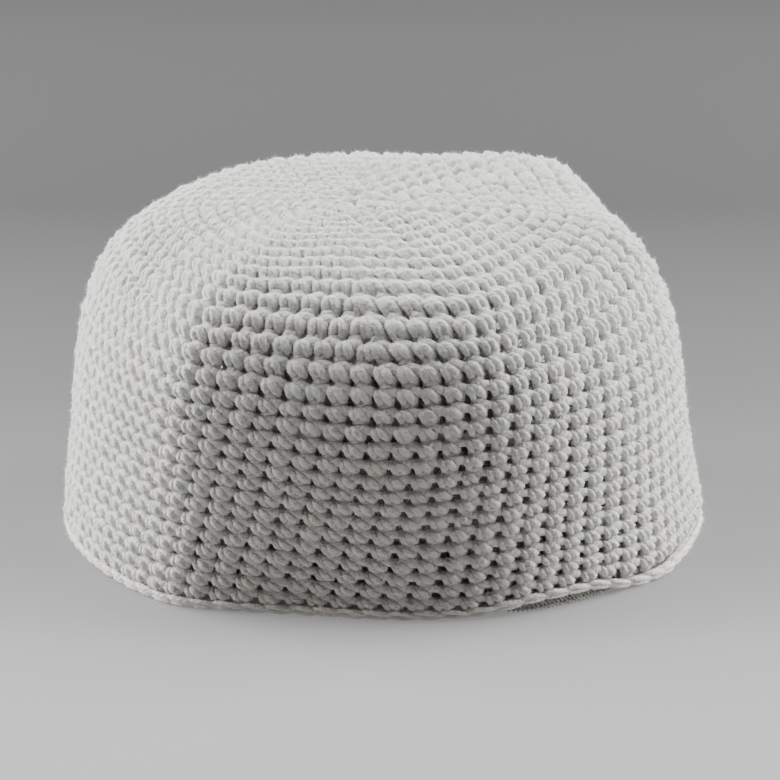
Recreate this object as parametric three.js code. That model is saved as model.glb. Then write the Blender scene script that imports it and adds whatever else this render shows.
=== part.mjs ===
// A crocheted kufi, a brimless skull-cap, standing on its rim: millimetres, +Z up, the wearer's
// left-right axis along X, the worked front towards -Y, the origin on the surface it stands on.
//
// cap_body    the crown and wall, one piece of crochet worked in rounds from the crown's centre
// rim_edging  the chain edging round the rim
// inner_band  the tape inside the rim, seen where the rim lifts off the surface
import * as THREE from "three";
import { mergeVertices } from "three/addons/utils/BufferGeometryUtils.js";

const FABRIC_THICKNESS = 3.4; // a single crochet's front and back strands, one behind the other
const EDGING_THICKNESS = 2.8; // the chain's diameter
const BAND_THICKNESS = 1.2;
const BAND_GAP = 0.7; // between the tape and the crochet, wide enough for the facets of both
const CLEARANCE = 0.3; // the gap that touching pieces keep
const COLUMNS = 72; // facets round the cap
const EDGING_SIDES = 8;
const LAST_ROUND = 31; // the rim
const WALL_TOP_ROUND = 17; // where the crown's shoulder has turned down into the wall
const ROUNDS_PER_FACET = 1.5;

// Each row is one round of crochet: the half width and half depth of its ring, the ring's centre,
// its height, how far its back stands above its middle, and how far the crown's corners shape it
// outwards (crown) and upwards (shoulder), from 0 to 1.
const SECTIONS = [
  { round: 0, halfWidth: 0, halfDepth: 0, x: -11.3, y: 6, z: 94.4, rise: 0, crown: 1, shoulder: 0 },
  { round: 2, halfWidth: 11, halfDepth: 11, x: -11.3, y: 6, z: 94.3, rise: 0.4, crown: 1, shoulder: 0 },
  { round: 5, halfWidth: 28, halfDepth: 27.5, x: -10.3, y: 6, z: 93.9, rise: 1.2, crown: 1, shoulder: 0 },
  { round: 8, halfWidth: 45, halfDepth: 45, x: -8.3, y: 5.5, z: 93, rise: 2.6, crown: 1, shoulder: 0.1 },
  { round: 10, halfWidth: 55.5, halfDepth: 57, x: -6.3, y: 6, z: 91.4, rise: 3.4, crown: 1, shoulder: 0.3 },
  { round: 12, halfWidth: 66.5, halfDepth: 68, x: -3.9, y: 6, z: 87, rise: 4.2, crown: 0.9, shoulder: 0.7 },
  { round: 14, halfWidth: 76, halfDepth: 76, x: -4.1, y: 4.4, z: 77.7, rise: 4, crown: 0.8, shoulder: 1 },
  { round: 17, halfWidth: 84.8, halfDepth: 81, x: -2.5, y: 1.8, z: 60.2, rise: 2.4, crown: 0.4, shoulder: 0.7 },
  { round: 24, halfWidth: 90.7, halfDepth: 84, x: -1.1, y: 0, z: 30.8, rise: 0, crown: 0, shoulder: 0 },
  { round: 29, halfWidth: 93.6, halfDepth: 84.5, x: -0.5, y: 0, z: 11.2, rise: 0, crown: 0, shoulder: 0 },
  { round: 31, halfWidth: 94, halfDepth: 84.3, x: -0.3, y: 0, z: 3.1, rise: 0, crown: 0, shoulder: 0 },
];

// Each row is one corner or dent of the cap, named by where it stands: the direction it points in,
// how far it sticks out as a share of the ring's size on the crown, on the wall and at the rim, how
// far it stands up at the crown's edge, how many degrees it takes to fade out on each side, and
// how many of them its tip is rounded over.
const CORNERS = [
  { at: "front_left", angle: -126, crown: 0.12, wall: 0.07, rim: 0.075, stand: 0, width: 34, tip: 3 },
  { at: "front_right", angle: -66, crown: 0.11, wall: 0.03, rim: 0.05, stand: 0, width: 34, tip: 9 },
  { at: "right", angle: -2, crown: 0.12, wall: 0, rim: 0.01, stand: 4, width: 38, tip: 7 },
  { at: "back_right", angle: 45, crown: 0.27, wall: 0.03, rim: 0, stand: 10, width: 38, tip: 9 },
  { at: "back_left", angle: 122, crown: 0.1, wall: 0.02, rim: 0, stand: -2, width: 36, tip: 9 },
  { at: "left", angle: 176, crown: 0.08, wall: 0, rim: 0, stand: 0, width: 34, tip: 9 },
  { at: "front_dent", angle: -105, crown: 0, wall: -0.02, rim: -0.05, stand: 0, width: 24, tip: 6 },
  { at: "rim_tab", angle: -36, crown: 0, wall: 0.01, rim: 0.055, stand: 0, width: 26, tip: 3 },
  { at: "rim_left", angle: -144, crown: 0, wall: 0, rim: 0.015, stand: 0, width: 26, tip: 8 },
];

// The stretch of rim that stands off the surface, with the band's edge showing under it: it is
// level for some degrees on each side of its middle and comes down by the width.
const LIFT = { angle: -58.5, height: 2.6, level: 4, width: 18, fromRound: 26 };

// The tape's edges and the lines between them: their height, and how far each stands out where the
// rim is lifted.
const BAND_ROWS = [
  { z: 0, kick: 2.0 },
  { z: 4, kick: 0.2 },
  { z: 9, kick: 0 },
  { z: 22, kick: 0 },
];

const radians = THREE.MathUtils.degToRad;

/** A column of SECTIONS at a round, on a smooth curve through the rows. */
function section(column, round) {
  const last = SECTIONS.length - 1;
  let i = 0;
  while (i < last - 1 && SECTIONS[i + 1].round <= round) i++;
  const row = (k) => SECTIONS[Math.min(Math.max(k, 0), last)];
  const slope = (k) => {
    const [a, b] = [row(k - 1), row(k + 1)];
    return (b[column] - a[column]) / (b.round - a.round);
  };
  const [from, to] = [row(i), row(i + 1)];
  const span = to.round - from.round;
  const t = (round - from.round) / span;
  const rise = to[column] - from[column];
  const bend = (slope(i) * (1 - t) - slope(i + 1) * t) * span;
  return from[column] + rise * t * t * (3 - 2 * t) + bend * t * (1 - t);
}

/** The shortest way from one direction to another, in degrees. */
function turn(from, to) {
  return ((((to - from) % 360) + 540) % 360) - 180;
}

/** How strongly a corner is felt in a direction, from 1 at its tip to 0 at its width. */
function cornerPull(corner, angle) {
  const off = Math.hypot(turn(corner.angle, angle), corner.tip) / corner.width;
  return Math.max(0, 1 - off) ** 2;
}

/** How much wider than its oval a round stands in a direction. */
function cornerShare(round, angle) {
  const crown = section("crown", round);
  const rim = THREE.MathUtils.smoothstep(round, LIFT.fromRound, LAST_ROUND);
  let share = 1;
  for (const corner of CORNERS) {
    const wall = THREE.MathUtils.lerp(corner.wall, corner.rim, rim);
    share += THREE.MathUtils.lerp(wall, corner.crown, crown) * cornerPull(corner, angle);
  }
  return share;
}

/** How far the crown's corners and the rim's lifted stretch raise a round in a direction. */
function lift(round, angle) {
  const off = Math.abs(turn(LIFT.angle, angle));
  const along = 1 - THREE.MathUtils.smoothstep(off, LIFT.level, LIFT.width);
  const down = THREE.MathUtils.smoothstep(round, LIFT.fromRound, LAST_ROUND);
  const shoulder = section("shoulder", round);
  let height = LIFT.height * down * along;
  for (const corner of CORNERS) height += corner.stand * shoulder * cornerPull(corner, angle);
  return height;
}

/** A point of the cap's outer face. */
function outerPoint(round, angle) {
  const share = cornerShare(round, angle);
  const [c, s] = [Math.cos(radians(angle)), Math.sin(radians(angle))];
  return new THREE.Vector3(
    section("x", round) + section("halfWidth", round) * c * share,
    section("y", round) + section("halfDepth", round) * s * share,
    section("z", round) + section("rise", round) * s + lift(round, angle),
  );
}

/** The direction in which the outer face looks at a point. */
function outward(round, angle) {
  if (round === 0) return new THREE.Vector3(0, 0, 1);
  const step = 0.25;
  const below = outerPoint(Math.min(round + step, LAST_ROUND), angle);
  const down = below.sub(outerPoint(Math.max(round - step, 0.05), angle));
  const along = outerPoint(round, angle + 1).sub(outerPoint(round, angle - 1));
  return down.cross(along).normalize();
}

/** Triangles between neighbouring rings of points, and from the last to the first if endless. */
function skin(rings, endless) {
  const count = rings[0].length;
  const positions = rings.flat().flatMap((p) => [p.x, p.y, p.z]);
  const index = [];
  const joints = endless ? rings.length : rings.length - 1;
  for (let r = 0; r < joints; r++) {
    const next = (r + 1) % rings.length;
    for (let c = 0; c < count; c++) {
      const [a, b] = [r * count + c, r * count + ((c + 1) % count)];
      const [d, e] = [next * count + c, next * count + ((c + 1) % count)];
      index.push(a, d, b, b, d, e);
    }
  }
  const geometry = new THREE.BufferGeometry();
  geometry.setAttribute("position", new THREE.Float32BufferAttribute(positions, 3));
  geometry.setIndex(index);
  return geometry;
}

/** Merges the points that fall together, as the crown's centre ring does, and drops flat faces. */
function finished(geometry) {
  const merged = mergeVertices(geometry, 1e-4);
  const kept = [];
  const index = merged.getIndex().array;
  for (let i = 0; i < index.length; i += 3) {
    const [a, b, c] = [index[i], index[i + 1], index[i + 2]];
    if (a !== b && b !== c && c !== a) kept.push(a, b, c);
  }
  merged.setIndex(kept);
  merged.computeVertexNormals();
  return merged;
}

const columnAngles = Array.from({ length: COLUMNS }, (_, i) => (i * 360) / COLUMNS);

/** One ring of points at a depth inside the outer face. */
function ring(round, depth) {
  return columnAngles.map((angle) =>
    outerPoint(round, angle).addScaledVector(outward(round, angle), -depth),
  );
}

/** The rounds at which the cap has a ring of facets, from the crown's centre to the rim. */
function facetRounds() {
  const rounds = [0];
  for (let n = ROUNDS_PER_FACET; n < LAST_ROUND - 1; n += ROUNDS_PER_FACET) rounds.push(n);
  return [...rounds, LAST_ROUND];
}

function capBody() {
  const outer = facetRounds().map((round) => ring(round, 0));
  const inner = facetRounds().map((round) => ring(round, FABRIC_THICKNESS));
  return skin([...outer, ...inner.reverse()], false);
}

/** The chain edging: a round cord that hangs just under the cap's last round. */
function rimEdging() {
  const radius = EDGING_THICKNESS / 2;
  const rings = columnAngles.map((angle) => {
    const edge = outerPoint(LAST_ROUND, angle);
    const out = outward(LAST_ROUND, angle).setZ(0).normalize();
    const middle = edge.clone().addScaledVector(out, -FABRIC_THICKNESS / 2);
    middle.z = edge.z - CLEARANCE - radius;
    return Array.from({ length: EDGING_SIDES }, (_, i) => {
      const a = ((i + 0.5) * 2 * Math.PI) / EDGING_SIDES;
      const reach = radius / Math.cos(Math.PI / EDGING_SIDES);
      const point = middle.clone().addScaledVector(out, reach * Math.cos(a));
      point.z += reach * Math.sin(a);
      return point;
    });
  });
  return skin(rings, true);
}

/** The tape: it stands on the surface all the way round, and kicks out under the lifted rim. */
function innerBand() {
  const rings = columnAngles.map((angle) => {
    const off = Math.abs(turn(LIFT.angle, angle));
    const lifted = 1 - THREE.MathUtils.smoothstep(off, LIFT.level, LIFT.width);
    const wall = BAND_ROWS.map(({ z, kick }) => {
      const round = roundAtHeight(Math.max(z, BAND_ROWS[1].z), angle);
      const out = outward(round, angle).setZ(0).normalize();
      const depth = FABRIC_THICKNESS + BAND_GAP - kick * lifted;
      const face = outerPoint(round, angle).addScaledVector(out, -depth);
      return { face: face.setZ(z), out };
    });
    const front = wall.map(({ face }) => face);
    const back = wall.map(({ face, out }) => face.clone().addScaledVector(out, -BAND_THICKNESS));
    return [...front, ...back.reverse()];
  });
  return skin(rings, true);
}

/** The round that passes a height on the wall in a direction. */
function roundAtHeight(z, angle) {
  let [high, low] = [WALL_TOP_ROUND, LAST_ROUND];
  for (let i = 0; i < 24; i++) {
    const middle = (high + low) / 2;
    if (outerPoint(middle, angle).z > z) high = middle;
    else low = middle;
  }
  return (high + low) / 2;
}

const yarn = new THREE.MeshStandardMaterial({ color: 0xe9e7e2, roughness: 0.95, metalness: 0 });
const tape = new THREE.MeshStandardMaterial({ color: 0xdedcd6, roughness: 0.85, metalness: 0 });

function piece(name, geometry, material) {
  const mesh = new THREE.Mesh(finished(geometry), material);
  mesh.name = name;
  return mesh;
}

const kufi = new THREE.Group();
kufi.add(piece("cap_body", capBody(), yarn));
kufi.add(piece("rim_edging", rimEdging(), yarn));
kufi.add(piece("inner_band", innerBand(), tape));

export default kufi;
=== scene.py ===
"""A white crocheted kufi standing on its rim: metres, +Z up, the worked front towards -Y.

The cap is one spiral of single crochet, worked from the middle of its crown down to its rim. Each
stitch is five strands of yarn, laid on the cap's form by Geometry Nodes. A chain edges the rim, and
a ribbed tape is sewn inside it.
"""
import logging
import math
from dataclasses import dataclass
from enum import Enum
from typing import Any, Callable, NamedTuple

import bpy
import numpy as np
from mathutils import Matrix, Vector


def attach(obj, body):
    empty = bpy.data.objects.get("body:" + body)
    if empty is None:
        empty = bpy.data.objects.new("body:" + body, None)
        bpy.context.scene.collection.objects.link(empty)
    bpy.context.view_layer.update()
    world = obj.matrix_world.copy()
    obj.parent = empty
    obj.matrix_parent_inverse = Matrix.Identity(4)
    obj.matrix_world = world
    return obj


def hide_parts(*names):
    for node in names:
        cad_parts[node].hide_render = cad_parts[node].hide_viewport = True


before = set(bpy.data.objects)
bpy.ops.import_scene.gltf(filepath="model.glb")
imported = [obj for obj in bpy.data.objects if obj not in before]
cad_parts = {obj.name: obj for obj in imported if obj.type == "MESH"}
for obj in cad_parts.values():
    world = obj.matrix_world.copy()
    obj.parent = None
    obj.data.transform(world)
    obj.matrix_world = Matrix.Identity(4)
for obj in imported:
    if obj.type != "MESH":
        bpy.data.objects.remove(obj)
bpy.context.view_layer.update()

log = logging.getLogger("kufi")

MM = 0.001
FABRIC_THICKNESS = 3.4 * MM
EDGING_THICKNESS = 2.8 * MM
CLEARANCE = 0.3 * MM
USUAL_PITCH = 4.5 * MM
LAST_ROUND = 31.0
WALL_TOP_ROUND = 17.0
MIDDLE_ROUND = 0.05

# A form sheet's columns run a little past one whole turn at either end.
SHEET_TURNS = np.linspace(-0.02, 1.02, 376)

Colour = tuple[float, float, float, float]


class Slot(Enum):
    """The finishes that the record lists."""

    YARN = "yarn"
    EDGING = "edging_yarn"
    TAPE = "tape"


# --- the cap's form ------------------------------------------------------------------------------


class Section(NamedTuple):
    """One round of crochet: its oval and its centre, in millimetres.

    rise is how much higher its back lies than its centre. crown and shoulder say how far, from 0 to
    1, the corners widen it as they do the crown and lift it as they do the crown's edge.
    """

    round: float
    half_width: float
    half_depth: float
    x: float
    y: float
    z: float
    rise: float
    crown: float
    shoulder: float


SECTIONS = (
    Section(0, 0, 0, -11.3, 6, 94.4, 0, 1, 0),
    Section(2, 11, 11, -11.3, 6, 94.3, 0.4, 1, 0),
    Section(5, 28, 27.5, -10.3, 6, 93.9, 1.2, 1, 0),
    Section(8, 45, 45, -8.3, 5.5, 93, 2.6, 1, 0.1),
    Section(10, 55.5, 57, -6.3, 6, 91.4, 3.4, 1, 0.3),
    Section(12, 66.5, 68, -3.9, 6, 87, 4.2, 0.9, 0.7),
    Section(14, 76, 76, -4.1, 4.4, 77.7, 4, 0.8, 1),
    Section(17, 84.8, 81, -2.5, 1.8, 60.2, 2.4, 0.4, 0.7),
    Section(24, 90.7, 84, -1.1, 0, 30.8, 0, 0, 0),
    Section(29, 93.6, 84.5, -0.5, 0, 11.2, 0, 0, 0),
    Section(31, 94, 84.3, -0.3, 0, 3.1, 0, 0, 0),
)


class Corner(NamedTuple):
    """A corner or dent of the cap: which way it points and how wide it is to each side, in degrees.

    It widens the crown, the wall and the rim by a share of their size, and lifts the crown's edge by
    stand, in millimetres. The larger its tip, in degrees, the more softly it is rounded.
    """

    at: str
    angle: float
    crown: float
    wall: float
    rim: float
    stand: float
    width: float
    tip: float


CORNERS = (
    Corner("front_left", -126, 0.12, 0.07, 0.075, 0, 34, 3),
    Corner("front_right", -66, 0.11, 0.03, 0.05, 0, 34, 9),
    Corner("right", -2, 0.12, 0, 0.01, 4, 38, 7),
    Corner("back_right", 45, 0.27, 0.03, 0, 10, 38, 9),
    Corner("back_left", 122, 0.1, 0.02, 0, -2, 36, 9),
    Corner("left", 176, 0.08, 0, 0, 0, 34, 9),
    Corner("front_dent", -105, 0, -0.02, -0.05, 0, 24, 6),
    Corner("rim_tab", -36, 0, 0.01, 0.055, 0, 26, 3),
    Corner("rim_left", -144, 0, 0, 0.015, 0, 26, 8),
)


class RimLift(NamedTuple):
    """The stretch of rim that stands off the surface, in degrees and millimetres."""

    angle: float = -58.5
    height: float = 2.6
    level: float = 4.0
    width: float = 18.0
    from_round: float = 26.0


LIFT = RimLift()


def smoothstep(value: np.ndarray, low: float, high: float) -> np.ndarray:
    """Eases from 0 at low to 1 at high."""
    t = np.clip((value - low) / (high - low), 0.0, 1.0)
    return t * t * (3 - 2 * t)


def turn(origin: float, to: np.ndarray) -> np.ndarray:
    """The shortest way from one direction to others, in degrees."""
    return (to - origin + 180.0) % 360.0 - 180.0


class CapForm:
    """The cap's outer face, as a function of the round of crochet and the direction."""

    def section(self, column: str, rounds: np.ndarray) -> np.ndarray:
        """Follows a column of SECTIONS on a smooth curve through its rows.

        Args:
            column: the field of Section to follow.
            rounds: the rounds to work it out at.

        Returns:
            The column's value at each round.
        """
        at = np.array([row.round for row in SECTIONS], float)
        value = np.array([getattr(row, column) for row in SECTIONS], float)
        last = len(SECTIONS) - 1
        before = np.maximum(np.arange(last + 1) - 1, 0)
        after = np.minimum(np.arange(last + 1) + 1, last)
        slope = (value[after] - value[before]) / (at[after] - at[before])
        i = np.clip(np.searchsorted(at, rounds, side="right") - 1, 0, last - 1)
        span = at[i + 1] - at[i]
        t = (rounds - at[i]) / span
        bend = (slope[i] * (1 - t) - slope[i + 1] * t) * span
        return value[i] + (value[i + 1] - value[i]) * t * t * (3 - 2 * t) + bend * t * (1 - t)

    def point(self, rounds: np.ndarray, angles: np.ndarray) -> np.ndarray:
        """Gives points of the outer face.

        Args:
            rounds: how many rounds of crochet lie between the crown's middle and each point.
            angles: each point's direction, in degrees.

        Returns:
            The points in metres, along a last axis of three.
        """
        rounds, angles = np.broadcast_arrays(np.asarray(rounds, float), np.asarray(angles, float))
        down = smoothstep(rounds, LIFT.from_round, LAST_ROUND)
        crown = self.section("crown", rounds)
        shoulder = self.section("shoulder", rounds)
        share = np.ones_like(rounds)
        off = np.abs(turn(LIFT.angle, angles))
        height = LIFT.height * down * (1 - smoothstep(off, LIFT.level, LIFT.width))
        for corner in CORNERS:
            reach = np.hypot(turn(corner.angle, angles), corner.tip) / corner.width
            pull = np.maximum(0.0, 1 - reach) ** 2
            wall = corner.wall + (corner.rim - corner.wall) * down
            share = share + (wall + (corner.crown - wall) * crown) * pull
            height = height + corner.stand * shoulder * pull
        across, along = np.cos(np.radians(angles)), np.sin(np.radians(angles))
        x = self.section("x", rounds) + self.section("half_width", rounds) * across * share
        y = self.section("y", rounds) + self.section("half_depth", rounds) * along * share
        z = self.section("z", rounds) + self.section("rise", rounds) * along + height
        return np.stack([x, y, z], axis=-1) * MM

    def outward(self, rounds: np.ndarray, angles: np.ndarray) -> np.ndarray:
        """Gives the direction in which the outer face looks.

        Args:
            rounds: the round of each place.
            angles: the direction of each place, in degrees.

        Returns:
            Unit vectors, along a last axis of three.
        """
        step = 0.25
        rounds, angles = np.broadcast_arrays(np.asarray(rounds, float), np.asarray(angles, float))
        below = self.point(np.minimum(rounds + step, LAST_ROUND), angles)
        down = below - self.point(np.maximum(rounds - step, MIDDLE_ROUND), angles)
        level = np.maximum(rounds, MIDDLE_ROUND)
        along = self.point(level, angles + 1) - self.point(level, angles - 1)
        out = np.cross(down, along)
        return out / np.linalg.norm(out, axis=-1, keepdims=True)


FORM = CapForm()


def flat_unit(vectors: np.ndarray) -> np.ndarray:
    """Turns directions level and makes them one unit long."""
    level = vectors * np.array([1.0, 1.0, 0.0])
    return level / np.linalg.norm(level, axis=-1, keepdims=True)


# --- meshes --------------------------------------------------------------------------------------


def show(name: str, mesh: bpy.types.Mesh, working: bool = False) -> bpy.types.Object:
    """Puts a mesh in the scene.

    Args:
        name: the piece's name.
        mesh: its mesh, in the row frame.
        working: whether it only helps to make others, and so is hidden from renders.

    Returns:
        The new object, at the origin.
    """
    piece = bpy.data.objects.new(name, mesh)
    piece.hide_render = working
    bpy.context.scene.collection.objects.link(piece)
    return piece


def discard(*pieces: bpy.types.Object) -> None:
    """Removes working objects with their meshes.

    Args:
        pieces: the objects.
    """
    for piece in pieces:
        mesh = piece.data
        bpy.data.objects.remove(piece)
        bpy.data.meshes.remove(mesh)


def store(mesh: bpy.types.Mesh, name: str, kind: str, values: np.ndarray) -> None:
    """Stores a value for each point of a mesh.

    Args:
        mesh: the mesh.
        name: the attribute's name.
        kind: FLOAT, INT or FLOAT_VECTOR.
        values: a value, or three, for each point.
    """
    attribute = mesh.attributes.new(name, kind, "POINT")
    place = "vector" if kind == "FLOAT_VECTOR" else "value"
    number = np.int32 if kind == "INT" else np.float32
    attribute.data.foreach_set(place, np.ravel(values).astype(number))


def smooth(mesh: bpy.types.Mesh) -> None:
    """Shades a mesh smooth."""
    mesh.polygons.foreach_set("use_smooth", [True] * len(mesh.polygons))


def grid_faces(rows: int, columns: int, closed: bool = False) -> list[tuple[int, int, int, int]]:
    """Lists the faces between neighbouring rows of points.

    Args:
        rows: how many rows there are.
        columns: how many points a row has.
        closed: whether a row's last point joins its first.

    Returns:
        The corners of each face.
    """
    spans = columns if closed else columns - 1
    corners = []
    for r in range(rows - 1):
        for c in range(spans):
            right = (c + 1) % columns
            low = (r + 1) * columns
            corners.append((r * columns + c, low + c, low + right, r * columns + right))
    return corners


@dataclass(frozen=True)
class FormSheet:
    """A fine sheet in the cap's shape, which tells the node trees where a strand lies.

    Its attribute wrap gives each point's turn and row, out the direction away from the cap, and room
    how thick the strands are for the pitch of the rows, against their thickness at the usual pitch.
    They take up a share of what a wider pitch gives them.
    """

    name: str
    rows: np.ndarray
    place: Callable[[np.ndarray, np.ndarray], tuple[np.ndarray, np.ndarray]]
    usual_pitch: float | None = None
    share: float = 0.45

    def build(self) -> bpy.types.Object:
        """Makes the sheet.

        Returns:
            The sheet's object, hidden from renders.
        """
        rows, turns = np.meshgrid(self.rows, SHEET_TURNS, indexing="ij")
        points, out = self.place(turns, rows)
        pitch = np.linalg.norm(np.gradient(points, self.rows, axis=0), axis=-1)
        room = 1 + self.share * (pitch / (self.usual_pitch or pitch) - 1)
        mesh = bpy.data.meshes.new(self.name)
        mesh.from_pydata(points.reshape(-1, 3).tolist(), [], grid_faces(*rows.shape))
        store(mesh, "wrap", "FLOAT_VECTOR", np.stack([turns, rows, np.zeros_like(rows)], axis=-1))
        store(mesh, "out", "FLOAT_VECTOR", out)
        store(mesh, "room", "FLOAT_VECTOR", np.stack([room] * 3, axis=-1))
        return show(self.name, mesh, working=True)


# --- node trees ----------------------------------------------------------------------------------


class Wire:
    """A socket of a node, on which sums and products add Math nodes to its tree."""

    def __init__(self, graph: "Graph", socket: bpy.types.NodeSocket) -> None:
        """Keeps the socket and the graph that it belongs to."""
        self.graph = graph
        self.socket = socket

    def math(self, operation: str, *others: "Wire | float") -> "Wire":
        """Adds a Math node that works on this value and others."""
        return self.graph.math(operation, self, *others)

    def __add__(self, other: "Wire | float") -> "Wire":
        """Adds."""
        return self.math("ADD", other)

    __radd__ = __add__

    def __mul__(self, other: "Wire | float") -> "Wire":
        """Multiplies."""
        return self.math("MULTIPLY", other)

    def __sub__(self, other: "Wire | float") -> "Wire":
        """Takes away."""
        return self.math("SUBTRACT", other)

    def __rsub__(self, other: float) -> "Wire":
        """Is taken away from a number."""
        return self.graph.math("SUBTRACT", other, self)

    def __truediv__(self, other: "Wire | float") -> "Wire":
        """Divides."""
        return self.math("DIVIDE", other)


class Node:
    """A node, whose outputs are read by name or identifier."""

    def __init__(self, graph: "Graph", raw: bpy.types.Node) -> None:
        """Keeps the node and its graph."""
        self.graph = graph
        self.raw = raw

    def __getitem__(self, key: str | int) -> Wire:
        """Gives an output."""
        return Wire(self.graph, find_socket(self.raw.outputs, key))


def find_socket(sockets: Any, key: str | int) -> bpy.types.NodeSocket:
    """Finds a socket by its number, identifier or name.

    Args:
        sockets: a node's inputs or outputs.
        key: what to look for.

    Returns:
        The socket.
    """
    if isinstance(key, int):
        return sockets[key]
    by_identifier = [s for s in sockets if s.identifier == key]
    by_name = [s for s in sockets if s.name == key and s.enabled]
    return (by_identifier or by_name)[0]


@dataclass(frozen=True)
class Graph:
    """A node tree and the ways of adding to it."""

    tree: bpy.types.NodeTree

    def node(
        self,
        kind: str,
        settings: dict[str, Any] | None = None,
        sockets: dict[str | int, Any] | None = None,
    ) -> Node:
        """Adds a node.

        Args:
            kind: the node's type.
            settings: its own settings, or stops for a ramp's stops, which are set first.
            sockets: the value or the wire that goes into each input.

        Returns:
            The new node.
        """
        raw = self.tree.nodes.new(kind)
        for name, value in (settings or {}).items():
            if name == "stops":
                self._set_stops(raw.color_ramp, value)
            else:
                setattr(raw, name, value)
        for key, value in (sockets or {}).items():
            socket = find_socket(raw.inputs, key)
            if isinstance(value, Wire):
                self.tree.links.new(value.socket, socket)
            else:
                socket.default_value = value
        return Node(self, raw)

    def _set_stops(self, ramp: bpy.types.ColorRamp, stops: list[tuple[float, tuple]]) -> None:
        """Sets a ramp's stops.

        Args:
            ramp: the ramp.
            stops: the position and the colour of each.
        """
        while len(ramp.elements) < len(stops):
            ramp.elements.new(1.0)
        for element, (position, colour) in zip(ramp.elements, stops):
            element.position = position
            element.color = colour

    def math(self, operation: str, *values: Wire | float) -> Wire:
        """Adds a Math node."""
        return self.node("ShaderNodeMath", {"operation": operation}, dict(enumerate(values)))[0]

    def vector_math(self, operation: str, *values: Any) -> Wire:
        """Adds a Vector Math node that gives a vector."""
        return self.node("ShaderNodeVectorMath", {"operation": operation}, dict(enumerate(values)))[0]

    def scaled(self, vector: Wire, factor: Wire) -> Wire:
        """Makes a vector longer by a factor."""
        sockets = {"Vector": vector, "Scale": factor}
        return self.node("ShaderNodeVectorMath", {"operation": "SCALE"}, sockets)[0]

    def vector(self, x: Wire | float, y: Wire | float, z: Wire | float) -> Wire:
        """Puts three values together."""
        return self.node("ShaderNodeCombineXYZ", None, {0: x, 1: y, 2: z})[0]

    def parts(self, vector: Wire) -> tuple[Wire, Wire, Wire]:
        """Takes a vector apart."""
        split = self.node("ShaderNodeSeparateXYZ", None, {0: vector})
        return split[0], split[1], split[2]

    def named(self, name: str, kind: str = "FLOAT") -> Wire:
        """Reads an attribute of the geometry, in a geometry tree."""
        node = self.node("GeometryNodeInputNamedAttribute", {"data_type": kind}, {"Name": name})
        return node["Attribute"]

    def stored(self, geometry: Wire, name: str, kind: str, value: Wire, domain: str = "POINT") -> Wire:
        """Stores an attribute of the geometry, in a geometry tree.

        Args:
            geometry: the geometry.
            name: the attribute's name.
            kind: its data type.
            value: its value.
            domain: what it is stored on.

        Returns:
            The geometry with the attribute.
        """
        settings = {"data_type": kind, "domain": domain}
        sockets = {"Geometry": geometry, "Name": name, "Value": value}
        return self.node("GeometryNodeStoreNamedAttribute", settings, sockets)["Geometry"]

    def mesh_of(self, source: Wire) -> Wire:
        """Reads the mesh of an object, in a geometry tree."""
        sockets = {"Object": source, "As Instance": False}
        return self.node("GeometryNodeObjectInfo", None, sockets)["Geometry"]

    def copied(self, points: Wire, instance: Wire, sockets: dict[str | int, Any]) -> Wire:
        """Puts a copy of a mesh at each point, in a geometry tree."""
        sockets = {"Points": points, "Instance": instance} | sockets
        return self.node("GeometryNodeInstanceOnPoints", None, sockets)["Instances"]

    def realized(self, copies: Wire) -> Wire:
        """Turns copies into a mesh of their own, in a geometry tree."""
        return self.node("GeometryNodeRealizeInstances", None, {"Geometry": copies})["Geometry"]

    def random_vector(self, seed: Wire | int) -> Wire:
        """Gives a vector whose parts are from -1 to 1, in a geometry tree."""
        sockets = {"Min": (-1.0, -1.0, -1.0), "Max": (1.0, 1.0, 1.0), "Seed": seed}
        return self.node("FunctionNodeRandomValue", {"data_type": "FLOAT_VECTOR"}, sockets)[0]

    def finish(self, geometry: Wire, material: Wire) -> None:
        """Gives the geometry its material and ends a geometry tree.

        Args:
            geometry: the geometry.
            material: its material.
        """
        sockets = {"Geometry": geometry, "Material": material}
        dressed = self.node("GeometryNodeSetMaterial", None, sockets)["Geometry"]
        self.node("NodeGroupOutput", None, {0: dressed})

    def attribute(self, name: str) -> Node:
        """Reads an attribute of the geometry, in a shader tree."""
        return self.node("ShaderNodeAttribute", {"attribute_name": name})

    def noise(self, where: Wire | None, scale: float, detail: float = 2.0, rough: float = 0.5) -> Node:
        """Adds a noise texture.

        Args:
            where: the place to read it at, or None for the point's own.
            scale: how fine it is.
            detail: how many finer noises it adds up.
            rough: how much each finer noise counts.

        Returns:
            The texture's node.
        """
        sockets: dict[str | int, Any] = {"Scale": scale, "Detail": detail, "Roughness": rough}
        if where is not None:
            sockets["Vector"] = where
        return self.node("ShaderNodeTexNoise", None, sockets)

    def blend(self, factor: Wire | float, first: Any, second: Any) -> Wire:
        """Mixes two colours."""
        sockets = {"Factor_Float": factor, "A_Color": first, "B_Color": second}
        return self.node("ShaderNodeMix", {"data_type": "RGBA"}, sockets)["Result_Color"]

    def relief(self, height: Wire) -> Wire:
        """Turns a height in metres into a normal, in a shader tree."""
        sockets = {"Strength": 1.0, "Distance": 1.0, "Height": height}
        return self.node("ShaderNodeBump", None, sockets)["Normal"]

    def principled(self, sockets: dict[str | int, Any]) -> Wire:
        """Adds the general shader."""
        return self.node("ShaderNodeBsdfPrincipled", None, sockets)["BSDF"]

    def surface(self, shader: Wire) -> None:
        """Makes a shader the material's surface."""
        self.node("ShaderNodeOutputMaterial", None, {"Surface": shader})


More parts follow.
